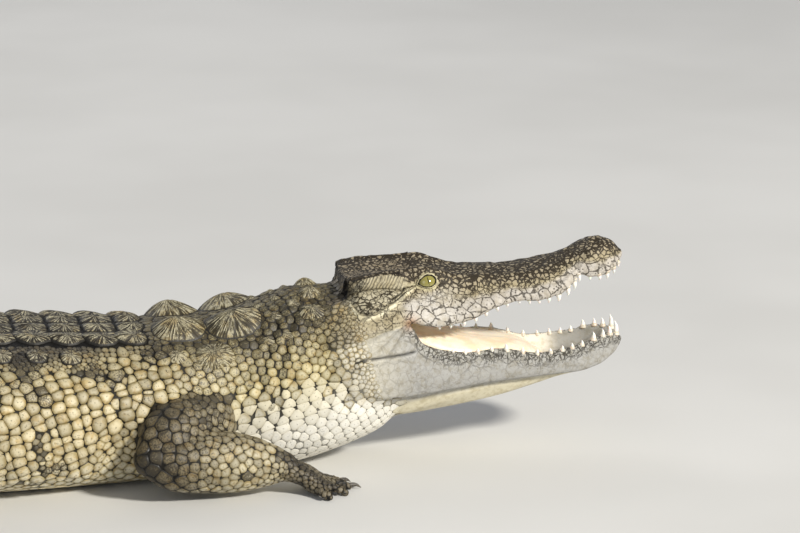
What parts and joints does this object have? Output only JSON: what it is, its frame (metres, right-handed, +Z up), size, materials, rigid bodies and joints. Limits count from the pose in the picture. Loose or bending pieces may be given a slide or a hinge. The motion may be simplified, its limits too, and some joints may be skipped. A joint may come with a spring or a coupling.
{
  "type": "nile crocodile",
  "caption": "Still, life-size crocodile that basks on its belly with raised snout, open jaws, splayed legs and a long crested tail that bends to one side; it rests on any flat floor.",
  "frame": {"origin": "on the floor, under the middle of the model's length and width", "axes": "+X along the body towards the snout, +Y towards the animal's left, +Z up from the floor"},
  "size_m": [2.43, 0.675, 0.2645],
  "materials": {
    "head_hide": "cracked hide, satin",
    "mouth_lining": "moist, smooth",
    "eye": "wet gloss",
    "body_hide": "scaled hide, satin",
    "leg_hide": "scaled hide, satin"
  },
  "bodies": {
    "root": {"head": "head_hide", "lower_jaw": "head_hide", "tongue": "mouth_lining", "eye_left": "eye", "eye_right": "eye", "neck": "body_hide", "trunk": "body_hide", "tail_base": "body_hide", "tail_middle": "body_hide", "tail_tip": "body_hide", "upper_arm_right": "leg_hide", "forearm_right": "leg_hide", "fore_foot_right": "leg_hide", "upper_arm_left": "leg_hide", "forearm_left": "leg_hide", "fore_foot_left": "leg_hide", "thigh_right": "leg_hide", "shank_right": "leg_hide", "hind_foot_right": "leg_hide", "thigh_left": "leg_hide", "shank_left": "leg_hide", "hind_foot_left": "leg_hide"}
  },
  "joints": []
}
